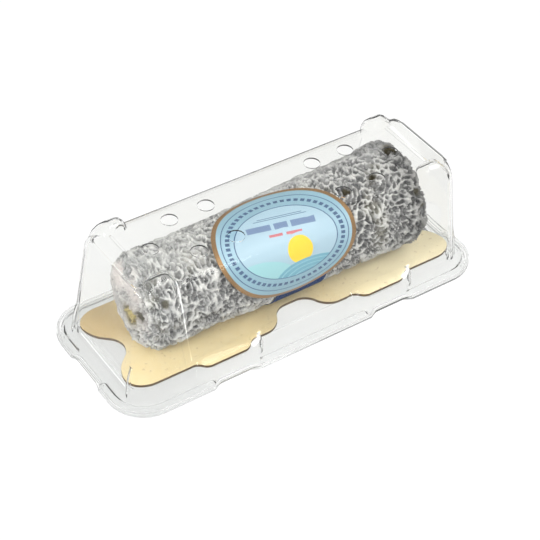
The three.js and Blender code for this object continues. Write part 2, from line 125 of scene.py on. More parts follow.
def smooth(piece, degrees=35):
    pick(piece)
    bpy.ops.object.shade_smooth_by_angle(angle=math.radians(degrees))


# %% [markdown]
# In edit mode, faces, edges and vertices are chosen in code, by their place or normal.
# Where a shape follows a formula, all its places are read into an array, changed, and
# written back. Numbers kept on the vertices can then steer the piece's material.


# %% Choosing parts and moving vertices
def edit(piece, mode, wanted):
    """Opens edit mode with only the vertices, edges or faces selected that are wanted."""
    pick(piece)
    bpy.ops.object.mode_set(mode="EDIT")
    bpy.ops.mesh.select_mode(type=mode)
    bpy.ops.mesh.select_all(action="DESELECT")
    mesh = bmesh.from_edit_mesh(piece.data)
    for part in {"VERT": mesh.verts, "EDGE": mesh.edges, "FACE": mesh.faces}[mode]:
        part.select_set(wanted(part))
    mesh.select_flush_mode()
    bmesh.update_edit_mesh(piece.data)


def edit_all(piece):
    pick(piece)
    bpy.ops.object.mode_set(mode="EDIT")
    bpy.ops.mesh.select_all(action="SELECT")


def finish_edit():
    bpy.ops.object.mode_set(mode="OBJECT")


def vertex_array(piece, kind="co"):
    """The places of a piece's vertices, or with "normal" their normals."""
    places = np.empty(len(piece.data.vertices) * 3)
    piece.data.vertices.foreach_get(kind, places)
    return places.reshape(-1, 3)


def set_vertex_array(piece, places):
    piece.data.vertices.foreach_set("co", places.ravel())
    piece.data.update()


def store_values(piece, name, values):
    """Keeps one number per vertex, for the piece's material to read."""
    attribute = piece.data.attributes.new(name, "FLOAT", "POINT")
    attribute.data.foreach_set("value", values.astype(np.float32))


# %% [markdown]
# ## Material helpers
# Each finish is one Principled shader in its own material. Small helpers add a node,
# set its values and join it up, so that a material reads as a list of steps. Effects
# that several finishes share are node groups.


# %% Adding nodes
class Tree:
    """Adds nodes to one material or node group."""

    def __init__(self, tree):
        self.tree = tree

    def put(self, socket, value):
        """Sets a socket to a value, or joins another socket to it."""
        if isinstance(value, bpy.types.NodeSocket):
            self.tree.links.new(value, socket)
        else:
            socket.default_value = value

    def add(self, kind, values=None, **settings):
        node = self.tree.nodes.new(kind)
        for key, value in settings.items():
            setattr(node, key, value)
        for key, value in (values or {}).items():
            self.put(node.inputs[key], value)
        return node

    def math(self, operation, first, second=0.0, clamp=False):
        node = self.add("ShaderNodeMath", {0: first, 1: second}, operation=operation, use_clamp=clamp)
        return node.outputs[0]

    def times(self, first, second):
        return self.math("MULTIPLY", first, second)

    def vector(self, operation, first, second, output=0):
        values = {0: first, "Scale" if operation == "SCALE" else 1: second}
        return self.add("ShaderNodeVectorMath", values, operation=operation).outputs[output]

    def paint(self, base, colour, mask, blend="MIX"):
        """Lays a colour over another one where the mask is 1."""
        values = {0: mask, 6: base, 7: colour}
        node = self.add("ShaderNodeMix", values, data_type="RGBA", blend_type=blend, clamp_factor=True)
        return node.outputs[2]

    def ramp(self, value, low, high, start=0.0, end=1.0):
        """Smoothly turns a value between low and high into start to end."""
        values = {"Value": value, "From Min": low, "From Max": high, "To Min": start, "To Max": end}
        return self.add("ShaderNodeMapRange", values, interpolation_type="SMOOTHSTEP").outputs[0]

    def object_place(self):
        return self.add("ShaderNodeTexCoord").outputs["Object"]

    def parts(self, vector):
        return self.add("ShaderNodeSeparateXYZ", {0: vector}).outputs

    def use(self, group, **values):
        """Places a node group; half_width=2 sets its input Half Width."""
        titled = {key.replace("_", " ").title(): value for key, value in values.items()}
        return self.add("ShaderNodeGroup", titled, node_tree=group).outputs


# %% Materials, groups and dressing a piece
def new_material(name, shader_values):
    material = bpy.data.materials.new(name)
    material.use_nodes = True
    tree = Tree(material.node_tree)
    shader = material.node_tree.nodes["Principled BSDF"]
    for key, value in shader_values.items():
        tree.put(shader.inputs[key], value)
    return material, tree, shader


def add_bump(tree, shader, height, strength, distance):
    bump = tree.add("ShaderNodeBump", {"Strength": strength, "Distance": distance, "Height": height})
    tree.put(shader.inputs["Normal"], bump.outputs[0])


def new_group(name, inputs, outputs):
    """Inputs are names and defaults, where None makes a vector."""
    group = bpy.data.node_groups.new(name, "ShaderNodeTree")
    for title, default in inputs.items():
        kind = "NodeSocketVector" if default is None else "NodeSocketFloat"
        socket = group.interface.new_socket(title, in_out="INPUT", socket_type=kind)
        if default is not None:
            socket.default_value = default
    for title in outputs:
        group.interface.new_socket(title, in_out="OUTPUT", socket_type="NodeSocketFloat")
    tree = Tree(group)
    entry = tree.add("NodeGroupInput")
    leave = tree.add("NodeGroupOutput")
    return group, tree, entry.outputs, leave.inputs


def wear(piece, material, node):
    """Gives a piece its material and puts it in the place of a CAD node."""
    piece.data.materials.clear()
    piece.data.materials.append(material)
    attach(piece, "root")
    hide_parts(node)


def grey(value):
    return (value, value, value, 1)


# %% [markdown]
# ## A shared group: mottling
# Rind, card, paper and plastic all vary a little from place to place. One group gives a
# coarse and a fine variation on the piece's own coordinates, and a height for a bump.

# %% The mottling group
mottling, tree, entry, leave = new_group(
    "mottling",
    {"Coarse Scale": 40.0, "Fine Scale": 600.0, "Fine Share": 0.5},
    ["Coarse", "Fine", "Height"],
)
place = tree.object_place()
coarse = tree.add("ShaderNodeTexNoise", {"Vector": place, "Scale": entry["Coarse Scale"], "Detail": 3.0})
fine = tree.add("ShaderNodeTexNoise", {"Vector": place, "Scale": entry["Fine Scale"], "Detail": 4.0})
tree.put(leave["Coarse"], tree.ramp(coarse.outputs[0], 0.3, 0.7))
tree.put(leave["Fine"], tree.ramp(fine.outputs[0], 0.3, 0.7))
fine_part = tree.times(fine.outputs[0], entry["Fine Share"])
tree.put(leave["Height"], tree.math("ADD", coarse.outputs[0], fine_part))
print("group:", mottling.name)


def mottle(tree, coarse_scale, fine_scale, fine_share):
    return tree.use(
        mottling, coarse_scale=coarse_scale, fine_scale=fine_scale, fine_share=fine_share
    )


# %% [markdown]
# ## The cheese log
# The rind of a mould-ripened goat cheese shrinks and folds into worm-like ridges about
# two millimetres apart. Such a surface could be painted as bump, but it shows in the
# outline, so it is real relief. A cylinder is tapered and rounded, the straw's bore is
# cut with a wider pit at each end, and the block is remeshed into even small faces.

# %% The log's measures
GAP = 0.3 * MM  # the space that one piece leaves to the next
LOG_LEFT = -72 * MM
LOG_RIGHT = 68.5 * MM
LOG_RADIUS_LEFT = 20.9 * MM
LOG_RADIUS_RIGHT = 23.0 * MM
LOG_Y = -0.5 * MM
LOG_ROUND_RIGHT = 4.0 * MM
LOG_ROUND_LEFT = 1.6 * LOG_ROUND_RIGHT
LOG_SIDES = 64
RIND_FACE = 0.56 * MM
STRAW_Y = 0.6 * MM
STRAW_Z = 23 * MM
STRAW_RADIUS = 1.9 * MM
PIT_RADIUS = 4.6 * MM
PIT_DEPTH = 3.5 * MM
PAST_END = 1.5 * MM
CLOSE = 1e-5

log_length = LOG_RIGHT - LOG_LEFT
log_middle = (LOG_LEFT + LOG_RIGHT) / 2
log_floor = board_high.z + GAP


def log_radius(x):
    share = (x - LOG_LEFT) / log_length
    return LOG_RADIUS_LEFT + (LOG_RADIUS_RIGHT - LOG_RADIUS_LEFT) * share


# %% The plain log
def cylinder_along_x(name, radius, x_from, x_to, y, z, sides=24, end_radius=None):
    """A cylinder or cone whose axis lies along X."""
    piece = new_piece(
        name,
        bpy.ops.mesh.primitive_cone_add,
        vertices=sides,
        radius1=radius,
        radius2=radius if end_radius is None else end_radius,
        depth=abs(x_to - x_from),
        location=((x_from + x_to) / 2, y, z),
        rotation=(0, math.copysign(math.pi / 2, x_to - x_from), 0),
    )
    bpy.ops.object.transform_apply(location=True, rotation=True, scale=True)
    return piece


cheese = cylinder_along_x(
    "cheese_log", LOG_RADIUS_LEFT, LOG_LEFT, LOG_RIGHT, LOG_Y, 0, LOG_SIDES, LOG_RADIUS_RIGHT
)
corners = vertex_array(cheese)
corners[:, 2] += log_floor + log_radius(corners[:, 0])
set_vertex_array(cheese, corners)
for x_end, rounding in ((LOG_LEFT, LOG_ROUND_LEFT), (LOG_RIGHT, LOG_ROUND_RIGHT)):
    edit(cheese, "EDGE", lambda e: all(abs(v.co.x - x_end) < CLOSE for v in e.verts))
    bpy.ops.mesh.bevel(offset=rounding, segments=8, affect="EDGES")
    finish_edit()
print("rounded log:", len(cheese.data.polygons), "faces")

# %% [markdown]
# The bore is a cylinder that reaches past both ends. Each pit is a cone that narrows
# from the end face to the straw. All three are cut out of the log.

# %% The bore and the pits
cutters = [cylinder_along_x(
    "bore", STRAW_RADIUS + GAP, LOG_LEFT * 1.2, LOG_RIGHT * 1.2, STRAW_Y, STRAW_Z
)]
for x_end, inward in ((LOG_LEFT, 1), (LOG_RIGHT, -1)):
    mouth = x_end - inward * PAST_END
    bottom = x_end + inward * PIT_DEPTH
    cutters.append(cylinder_along_x(
        "pit", PIT_RADIUS * 1.2, mouth, bottom, STRAW_Y, STRAW_Z, end_radius=STRAW_RADIUS
    ))
for cutter in cutters:
    use_modifier(cheese, "BOOLEAN", operation="DIFFERENCE", solver="EXACT", object=cutter)
    bpy.data.objects.remove(cutter)
use_modifier(cheese, "REMESH", mode="VOXEL", voxel_size=RIND_FACE, adaptivity=0)
print("plain log:", len(cheese.data.polygons), "faces")

# %% [markdown]
# ### Waves
# No brush or operator draws the rind's labyrinth, but waves of one length in all
# directions add up to exactly such a pattern. One function adds them over a flat or
# unrolled surface, and another through space. Each call has its own seed, so the rind
# comes out the same every time.


# %% Fields of waves
def smooth_step(value, low, high):
    share = np.clip((value - low) / (high - low), 0, 1)
    return share * share * (3 - 2 * share)


def flat_waves(across, along, length, seed, stretch=1.0, turns_radius=None, count=70):
    """Adds waves of one length in many directions over a flat or unrolled surface."""
    random = np.random.default_rng(seed)
    total = np.zeros(len(across))
    for _ in range(count):
        angle = random.uniform(0, 2 * math.pi)
        wave_number = 2 * math.pi / (length * random.uniform(0.82, 1.22))
        k_along = wave_number * math.cos(angle)
        k_across = wave_number * math.sin(angle) / stretch
        if turns_radius:
            k_across = round(k_across * turns_radius) / turns_radius
        total += np.cos(k_along * along + k_across * across + random.uniform(0, 2 * math.pi))
    return total / math.sqrt(count / 2)


def space_waves(places, length, seed, count=48):
    """The same through space, for wrinkles and slow swells."""
    random = np.random.default_rng(seed)
    total = np.zeros(len(places))
    for _ in range(count):
        direction = random.normal(size=3)
        direction *= 2 * math.pi / (length * random.uniform(0.8, 1.25)) / np.linalg.norm(direction)
        total += np.cos(places @ direction + random.uniform(0, 2 * math.pi))
    return total / math.sqrt(count / 2)


def ridge(distance, width, sharpness):
    """1 on a line, and less with the distance from it."""
    return np.exp(-((distance / width) ** sharpness))


# %% [markdown]
# ### The skin, unrolled
# The crests follow the places where a field of waves is zero, and the hollows lie where
# it is far from zero. Round the log, the field is worked out on the unrolled skin, with
# whole numbers of waves round it, so that it closes on itself. The places are shaken a
# little first, because real wrinkles never run true.

# %% Places on the skin
SWAY_SLOW = 0.6 * MM
SWAY_FAST = 0.2 * MM

places = vertex_array(cheese)
normals = vertex_array(cheese, "normal")
x, y, z = places.T
axis_z = log_floor + log_radius(x)
mean_radius = (LOG_RADIUS_LEFT + LOG_RADIUS_RIGHT) / 2
unrolled = mean_radius * np.arctan2(y - LOG_Y, z - axis_z)
from_rim = log_radius(x) - np.hypot(y - LOG_Y, z - axis_z)
sway = SWAY_SLOW * space_waves(places, 11 * MM, 21) + SWAY_FAST * space_waves(places, 3.2 * MM, 23)
drift = SWAY_SLOW * space_waves(places, 10 * MM, 22) + SWAY_FAST * space_waves(places, 3.0 * MM, 24)
print("skin:", len(places), "places")

# %% [markdown]
# ### The labyrinth
# Three fields are blended. The side's field runs over most of the log. Near the left
# end, and on its face, stretched waves draw crests that run round the log as rings. The
# right face has a flat field of its own, blended in over the rounded rim.

# %% The fields of crests and folds
CREST_SPACING = 1.85 * MM
FOLD_SPACING = 1.7 * MM
SIDE_STRETCH = 1.3
RING_STRETCH = 2.2
RINGS_END = LOG_LEFT + 9 * MM
RINGS_FADE = LOG_LEFT + 24 * MM

side = flat_waves(unrolled + sway, x + drift, 2 * CREST_SPACING, 31, SIDE_STRETCH, mean_radius)
rings = flat_waves(
    unrolled + sway, x - from_rim + drift, 1.9 * CREST_SPACING, 32, RING_STRETCH, mean_radius
)
ring_share = 1 - smooth_step(x + 3 * sway, RINGS_END, RINGS_FADE)
side = side * np.sqrt(1 - ring_share) + rings * np.sqrt(ring_share)
face = flat_waves(y + sway, z + drift, 1.8 * CREST_SPACING, 33)
face_share = smooth_step(np.abs(normals[:, 0]), 0.45, 0.95)
flat_share = face_share * (x > log_middle)
field = np.abs(side * np.sqrt(1 - flat_share) + face * np.sqrt(flat_share))
fine_field = np.abs(space_waves(places + 0.6 * sway[:, None], 2 * FOLD_SPACING, 41, count=90))
print("field: up to %.2f" % field.max())

# %% [markdown]
# ### Crests, folds and hollows
# The crests fade and swell along their length. Where they fade, crests of a second field
# cross them, which closes the hollows into cells. Smaller folds run through the hollows.

# %% Crests, folds and hollows
CREST_LINE = (0.66, 1.8)  # width in the field's own measure, and sharpness
CROSSING_LINE = (0.24, 1.4)
FOLD_LINE = (0.36, 1.2)
DEEPEST_FIELD = 1.25

crest_pull = np.clip(0.9 + 0.25 * space_waves(places, 6.0 * MM, 44), 0.35, 1.25)
crossing = np.abs(
    flat_waves(unrolled - sway, x + 2 * drift, 2.3 * CREST_SPACING, 35, 1.0, mean_radius)
)
crossing_pull = (1.35 - crest_pull) * 0.6 * (1 - flat_share)
crest = ridge(field, *CREST_LINE) * crest_pull
crest = np.maximum(crest, ridge(crossing, *CROSSING_LINE) * crossing_pull)
fold_pull = (1 - 0.7 * crest) * (0.5 - 0.3 * space_waves(places, 9 * MM, 45))
fold = ridge(fine_field, *FOLD_LINE) * fold_pull
hollow = np.minimum(np.minimum(field, 0.6 + crossing), DEEPEST_FIELD) / DEEPEST_FIELD
print("crest share: %.2f" % crest.mean())

# %% [markdown]
# ### Strong and weak places
# Slow swells keep the log from being too true. The relief is a little stronger towards
# the right end, and weaker at the back, on the left face and in the pits. In the bore
# there is none. A few single dents are pressed into the rind.

# %% Swells, strength and dents
SWELL_SPACING = 38 * MM
DENTS = (
    # x, y, z and radius of single deep dents in the rind, in millimetres
    (-72.5, -6.5, 27.5, 3.2),
    (64.9, 3.4, 53.4, 3.8),
    (-65.5, -17.9, 40.6, 2.3),
    (32.7, -7.9, 52.0, 2.2),
    (48.0, -6.6, 52.8, 2.0),
    (64.6, -19.0, 45.0, 1.9),
    (65.3, -21.0, 39.0, 1.7),
)
RIM_REGION = 9 * MM
STAIN_REACH = 3.0 * MM
STAIN_FADE = 1.5 * MM

back_top = smooth_step(y + 0.4 * (z - axis_z), 4 * MM, 20 * MM)
inside_rim = from_rim + 4 * sway + 0.25 * (y - LOG_Y)
left_face = face_share * (x < log_middle) * smooth_step(inside_rim, 2 * MM, 9 * MM)
straw_distance = np.hypot(y - STRAW_Y, z - STRAW_Z)
at_end = np.abs(x - log_middle) > log_length / 2 - RIM_REGION
in_bore = straw_distance < STRAW_RADIUS + 2 * GAP
near_pit = np.exp(-np.clip(straw_distance - STAIN_REACH, 0, None) / STAIN_FADE) * at_end

swell = space_waves(places, SWELL_SPACING, 42)
vigour = np.clip(1 + 0.13 * space_waves(places, 20 * MM, 43), 0.75, 1.3)
vigour *= 1 + 0.2 * smooth_step(x, 0, 35 * MM)
vigour *= 1 - 0.2 * back_top
vigour *= 1 - 0.25 * left_face
vigour *= np.where(in_bore, 0, 1 - 0.5 * near_pit)

dent = np.zeros(len(places))
for *centre, radius in DENTS:
    away = np.linalg.norm(places - np.array(centre) * MM, axis=1)
    dent += np.exp(-((away / (radius * MM)) ** 2))
print("relief strength: %.2f to %.2f" % (vigour.min(), vigour.max()))

# %% [markdown]
# ### Raising the rind
# Every vertex now moves out or in along its normal, by what the values there add up to.

# %% Moving the skin
CREST_HEIGHT = 1.0 * MM
CREST_BASE = 0.2
FOLD_HEIGHT = 0.25 * MM
HOLLOW_DEPTH = 1.2 * MM
SWELL_HEIGHT = 0.35 * MM
DENT_DEPTH = 1.6 * MM

raised = CREST_HEIGHT * (crest - CREST_BASE) + FOLD_HEIGHT * fold
lift = vigour * (raised - HOLLOW_DEPTH * hollow * (1 - crest))
lift = lift + (SWELL_HEIGHT * swell - DENT_DEPTH * dent) * ~in_bore
places = places + normals * lift[:, None]
print("crests: %.2f to %.2f mm" % (lift.min() / MM, lift.max() / MM))

# %% [markdown]
# ### Settling
# The rind is pressed flat under the label and under the band, and where the log lies on
# the card. The wrap is a cylinder of its own axis, a little fatter than the log, so the
# label's oval is found on that cylinder first.

# %% The wrap's measures
WRAP_Z = log_floor + 21.9 * MM
BAND_RADIUS = 22.9 * MM
BAND_THICK = 0.3 * MM
BAND_START = math.radians(60)
BAND_END = math.radians(148)
LABEL_RADIUS = BAND_RADIUS + BAND_THICK + GAP
LABEL_THICK = 0.4 * MM
LABEL_X = -5.1 * MM
LABEL_HALF_LENGTH = 34.2 * MM
LABEL_HALF_ARC = 26.2 * MM
LABEL_ANGLE = math.radians(43.4)
LABEL_TURN = math.radians(9.8)
ROOM = 0.3 * MM
BAND_MARGIN = 0.05  # radians
LID_ROOM = 3.5 * MM

band_low, band_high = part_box("band")
lid_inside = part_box("lid")[1].z - LID_ROOM

# %% Pressing the log
reach = BAND_RADIUS - ROOM
around = np.arctan2(LOG_Y - places[:, 1], places[:, 2] - WRAP_Z)
distance = np.hypot(LOG_Y - places[:, 1], places[:, 2] - WRAP_Z)
off_x = places[:, 0] - LABEL_X
off_arc = (around - LABEL_ANGLE) * LABEL_RADIUS
label_along = off_x * math.cos(LABEL_TURN) + off_arc * math.sin(LABEL_TURN)
label_down = off_arc * math.cos(LABEL_TURN) - off_x * math.sin(LABEL_TURN)
oval_share = np.hypot(label_along / LABEL_HALF_LENGTH, label_down / LABEL_HALF_ARC)
under_label = 1 - smooth_step(oval_share, 1.01, 1.07)
beside_band = np.maximum(band_low.x - places[:, 0], places[:, 0] - band_high.x)
in_band = (around > BAND_START - BAND_MARGIN) * (around < BAND_END + BAND_MARGIN)
under_band = (1 - smooth_step(beside_band, ROOM, 1.6 * MM)) * in_band
pressed = np.maximum(under_label, under_band)
settled = np.minimum(distance, reach) * pressed + distance * (1 - pressed)
places[:, 1] = LOG_Y - settled * np.sin(around)
places[:, 2] = WRAP_Z + settled * np.cos(around)
places[:, 2] = np.clip(places[:, 2], log_floor - 0.1 * MM, lid_inside)
places[:, 0] = np.clip(places[:, 0], cheese_low.x - ROOM, cheese_high.x + ROOM)
set_vertex_array(cheese, places)
print("pressed:", int((pressed > 0.5).sum()), "of", len(places), "places")

# %% Values for the rind's finish
crest_strength = np.clip(0.3 + 0.8 * vigour, 0.4, 1.1)
rind_values = {
    "crest": np.clip(np.maximum(crest, 0.75 * fold) * crest_strength, 0, 1),
    "hollow": np.clip(hollow * (1 - fold) * vigour, 0, 1),
    "straw_pit": np.clip(near_pit * 1.5, 0, 1),
    "left_face": left_face,
    "back_top": back_top,
    "dent": dent,
}
for name, values in rind_values.items():
    store_values(cheese, name, values)
pick(cheese)
bpy.ops.object.shade_smooth()
print("cheese:", len(cheese.data.polygons) * 2, "triangles")

# %% [markdown]
# ### Rind finish
# Crests dry out to off-white. The deepest hollows are dark with ash and with painted
# shade, and they are painted darker towards the right end. A fine crinkle breaks both up,
# with painted shade in the crevices between its folds, and a few patches have turned
# olive. Each layer is painted over the last one, through a mask made from the values on
# the vertices.

# %% The rind's colours
SKIN_DARK = grey(0.26)
SKIN_LIGHT = grey(0.45)
SKIN_SPECK = grey(0.16)
ASH_AND_SHADE = (0.015, 0.015, 0.018, 1)
OLIVE = (0.26, 0.235, 0.13, 1)
CRINKLE = (0.52, 0.515, 0.50, 1)
DRY_CREST = (0.78, 0.77, 0.74, 1)
CREVICE_SHADE = (0.09, 0.09, 0.095, 1)
LIT_TOP_PAINT = (0.68, 0.675, 0.65, 1)
FUZZ = grey(0.46)
PINK_AND_LIGHT = (0.68, 0.62, 0.59, 1)
DENT_OLIVE_SHADE = (0.05, 0.042, 0.02, 1)
STRAW_STAIN = (0.22, 0.175, 0.07, 1)

# %% Skin, ash and painted shade, and dry crests
rind, tree, shader = new_material("ash_rind", {"Roughness": 0.92, "Specular IOR Level": 0.2})
crest_line, hollow_depth, straw_pit, pale_face, fuzz, dent_shade = (
    tree.add("ShaderNodeAttribute", attribute_name=name).outputs["Fac"] for name in rind_values
)
spots = mottle(tree, 90, 1300, 0.9)
patches = mottle(tree, 42, 420, 0.4)
log_place = tree.object_place()
across_log, _, up_log = tree.parts(log_place)
crinkle_noise = tree.add("ShaderNodeTexNoise", {
    "Vector": log_place, "Scale": 440.0, "Detail": 1.0, "Roughness": 0.5, "Distortion": 0.8,
}).outputs[0]
crinkle = tree.ramp(crinkle_noise, 0.36, 0.54)


def along_log(x_from, x_to, start=0.0, end=1.0):
    """A mask that changes along the log, between two places in millimetres."""
    return tree.ramp(across_log, x_from * MM, x_to * MM, start, end)


skin = tree.paint(SKIN_DARK, SKIN_LIGHT, patches["Fine"])
skin = tree.paint(skin, SKIN_SPECK, tree.times(spots["Fine"], 0.35))
# Painted shade: ash and shade in the deepest hollows, darker towards the right end.
sunk = tree.math("ADD", hollow_depth, along_log(-10, 40, 0, 0.18))
deep_ash_shade = tree.times(tree.ramp(sunk, 0.36, 0.74), tree.ramp(spots["Coarse"], -0.2, 0.9, 0.5, 1))
skin = tree.paint(skin, ASH_AND_SHADE, tree.times(deep_ash_shade, along_log(-70, -10, 0.8, 1)))
olive = tree.times(tree.ramp(patches["Coarse"], 0.62, 0.95), tree.ramp(hollow_depth, 0.1, 0.5))
skin = tree.paint(skin, OLIVE, tree.times(olive, 0.45))
skin = tree.paint(skin, CRINKLE, tree.times(crinkle, 0.3))
bloom = tree.times(tree.ramp(crest_line, 0.25, 0.9), tree.ramp(spots["Fine"], -0.4, 0.9, 1, 0.6))
# Painted shade in the crevices between the crinkle's folds, less on the crests.
shaded = tree.times(tree.math("SUBTRACT", 1.0, crinkle), tree.ramp(crest_line, 0.3, 0.9, 0.5, 0.12))
colour = tree.paint(skin, DRY_CREST, bloom)
colour = tree.paint(colour, CREVICE_SHADE, shaded)

# %% [markdown]
# The log's colour also changes from end to end. The right end is painted darker, as
# painted shade, and the left part a little darker too. The top near the left end is
# painted pale, as painted light, and a grey fuzz covers the back. The left face is painted
# paler still, as painted light, and a little pink, where the ash rubbed off.

# %% Painted shade and light from end to end, and the bump
# Painted shade: darker towards the right end and darkest at its rim, a little darker at the left.
colour = tree.paint(colour, grey(0.9), along_log(-10, 40), "MULTIPLY")
colour = tree.paint(colour, grey(0.92), along_log(-20, -40), "MULTIPLY")
colour = tree.paint(colour, grey(0.45), along_log(46, LOG_RIGHT / MM, 0, 0.95), "MULTIPLY")
# Painted light: the top near the left end is painted pale.
lit_top = tree.times(tree.ramp(up_log, 44 * MM, 50 * MM), along_log(-15, -50, 0, 0.28))
colour = tree.paint(colour, LIT_TOP_PAINT, lit_top)
colour = tree.paint(colour, FUZZ, tree.times(fuzz, along_log(-55, 0, 0.08, 0.4)))
# Painted light with a pink tint: the left face, lit from the left, is painted paler.
pink_and_light = tree.times(pale_face, tree.ramp(patches["Coarse"], 0.0, 0.7, 0.8, 0.2))
colour = tree.paint(colour, PINK_AND_LIGHT, pink_and_light)
# The dents are painted dark olive, partly as painted shade inside them.
colour = tree.paint(colour, DENT_OLIVE_SHADE, tree.ramp(dent_shade, 0.2, 0.75, 0, 0.93))
colour = tree.paint(colour, STRAW_STAIN, straw_pit)
tree.put(shader.inputs["Base Color"], colour)
add_bump(tree, shader, tree.math("ADD", tree.times(crinkle, 0.7), spots["Height"]), 0.8, 0.2 * MM)
wear(cheese, rind, "cheese")
print("material:", rind.name)

# %% [markdown]
# ## The straw
# A single cereal straw stiffens the log. Only its ends show, in the pits at the log's
# ends. It starts as a cylinder, and its end faces are inset and pushed in to leave a
# thin wall.

# %% The straw
STRAW_STICKS_OUT = 1.6 * MM
STRAW_WALL = 0.5 * MM
STRAW_HOLLOW = 12 * MM
STRAW_SIDES = 40

straw_low, straw_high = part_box("straw")
straw_from = straw_low.x - STRAW_STICKS_OUT
straw_to = straw_high.x + STRAW_STICKS_OUT
straw = cylinder_along_x(
    "straw_stalk", STRAW_RADIUS, straw_from, straw_to, STRAW_Y, STRAW_Z, STRAW_SIDES
)
edit(straw, "FACE", lambda f: abs(f.normal.x) > 0.9)
bpy.ops.mesh.inset(thickness=STRAW_WALL)
finish_edit()


def is_cap(face, end_x):
    return len(face.verts) == STRAW_SIDES and abs(face.calc_center_median().x - end_x) < CLOSE


for push, end_x in ((STRAW_HOLLOW, straw_from), (-STRAW_HOLLOW, straw_to)):
    edit(straw, "FACE", lambda f: is_cap(f, end_x))
    bpy.ops.mesh.extrude_region_move(TRANSFORM_OT_translate={"value": (push, 0, 0)})
    finish_edit()
edit(straw, "EDGE", lambda e: e.calc_face_angle(0) > 1.0)
bpy.ops.mesh.bevel(offset=0.12 * MM, segments=2, affect="EDGES")
finish_edit()
print("straw:", len(straw.data.polygons), "faces")

# %% [markdown]
# ### The splintered rim
# The straw was snapped off, not cut, so its rim is flared and drawn out into splinters.
# Sines of a few whole numbers round the rim give them uneven lengths.

# %% Drawing out the rim
RIM_LENGTH = 1 * MM
SPLINTER_LENGTH = 0.7 * MM
STRAW_DENT = 0.10 * MM

bent = vertex_array(straw)
turn_round = np.arctan2(bent[:, 2] - STRAW_Z, bent[:, 1] - STRAW_Y)
bent[:, 1] += STRAW_DENT * np.sin(3 * turn_round)
in_rim = np.abs(bent[:, 0] - log_middle) > (straw_to - straw_from) / 2 - RIM_LENGTH
at_rim = in_rim * np.sign(bent[:, 0])
splinter = np.sin(2 * turn_round + 1) + 0.7 * np.sin(7 * turn_round) + 0.5 * np.sin(13 * turn_round)
splinter = np.clip(splinter, 0, None)
bent[:, 0] += at_rim * SPLINTER_LENGTH * splinter
bent[:, 1] += in_rim * MM * (0.5 + 0.6 * splinter) * np.cos(turn_round)
bent[:, 2] += in_rim * MM * (0.7 + 0.8 * splinter) * np.sin(turn_round)
set_vertex_array(straw, bent)
smooth(straw)

# %% The straw's finish
STRAW_PALE = (0.56, 0.47, 0.18, 1)
STRAW_DARK = (0.30, 0.22, 0.06, 1)

straw_skin, tree, shader = new_material("straw_skin", {"Roughness": 0.55})
fibres = {"Vector": tree.object_place(), "Scale": (40, 2600, 2600)}
fibre_place = tree.add("ShaderNodeMapping", fibres).outputs[0]
grain = tree.add("ShaderNodeTexNoise", {"Vector": fibre_place, "Scale": 1.0}).outputs[0]
colour = tree.paint(STRAW_PALE, STRAW_DARK, tree.ramp(grain, 0.35, 0.7))
tree.put(shader.inputs["Base Color"], colour)
wear(straw, straw_skin, "straw")
print("material:", straw_skin.name)

# %% [markdown]
# ## The gold card
# A die-cut card with a hollow at each end and side and two tabs on each long side. A
# ring of points is moved to the corners of its outline, each corner is rounded by its
# own amount, and the flat shape is extruded to the card's thickness.

# %% The card's outline
QUARTER = (
    # x, y and how far the corner is cut back along its edges, in millimetres
    (75.3, 3.6, 3.4),
    (85.3, 12.6, 5.5),
    (85.3, 26.0, 10.5),
    (55.2, 26.0, 2.4),
    (52.2, 30.0, 2.4),
    (30.8, 30.0, 2.4),
    (27.8, 26.0, 2.4),
    (13.0, 26.0, 6.0),
    (8.2, 15.4, 5.0),
)
corners = []
for sign_x, sign_y in ((1, 1), (-1, 1), (-1, -1), (1, -1)):
    points = [(sign_x * px * MM, sign_y * py * MM, cut * MM) for px, py, cut in QUARTER]
    corners += points if sign_x * sign_y > 0 else points[::-1]

card = new_piece(
    "board_card", bpy.ops.mesh.primitive_circle_add, vertices=len(corners), radius=1, fill_type="NGON"
)
for vertex, (px, py, _) in zip(card.data.vertices, corners):
    vertex.co = (px, py, board_low.z)
for cut in sorted({cut for _, _, cut in corners}):
    cut_places = [(px, py) for px, py, own in corners if own == cut]
    edit(card, "VERT", lambda v: any(
        abs(v.co.x - px) + abs(v.co.y - py) < 1e-6 for px, py in cut_places
    ))
    bpy.ops.mesh.bevel(offset=cut, segments=9, affect="VERTICES", clamp_overlap=False)
    finish_edit()
print("card outline:", len(card.data.vertices), "points")

# %% The card's thickness
CARD_EDGE = 0.22 * MM

edit(card, "FACE", lambda f: True)
thickness = board_high.z - board_low.z
bpy.ops.mesh.extrude_region_move(TRANSFORM_OT_translate={"value": (0, 0, thickness)})
bpy.ops.mesh.select_all(action="SELECT")
bpy.ops.mesh.normals_make_consistent(inside=False)
finish_edit()
edit(card, "EDGE", lambda e: e.calc_face_angle(0) > 1.2)
bpy.ops.mesh.bevel(offset=CARD_EDGE, segments=2, affect="EDGES")
finish_edit()
smooth(card)
print("card:", len(card.data.polygons), "faces")

# %% [markdown]
# ### Card finish
# The card is faced with a dull gold film. Its cut edge is brown, which draws the dark
# line round it. The film has tiny specks, and its tone changes slowly. It is also painted
# paler towards the right, as painted light, and browner in the back left corner, as
# painted shade.

# %% The card material
GOLD = (0.84, 0.69, 0.39, 1)
GOLD_DEEP = (0.72, 0.54, 0.25, 1)
GOLD_DUSTY = (0.86, 0.74, 0.50, 1)
GOLD_LIT = (0.98, 0.87, 0.60, 1)
GOLD_SHADE = (0.42, 0.27, 0.09, 1)
SPECK = (0.45, 0.30, 0.12, 1)
CUT_EDGE = (0.10, 0.055, 0.015, 1)

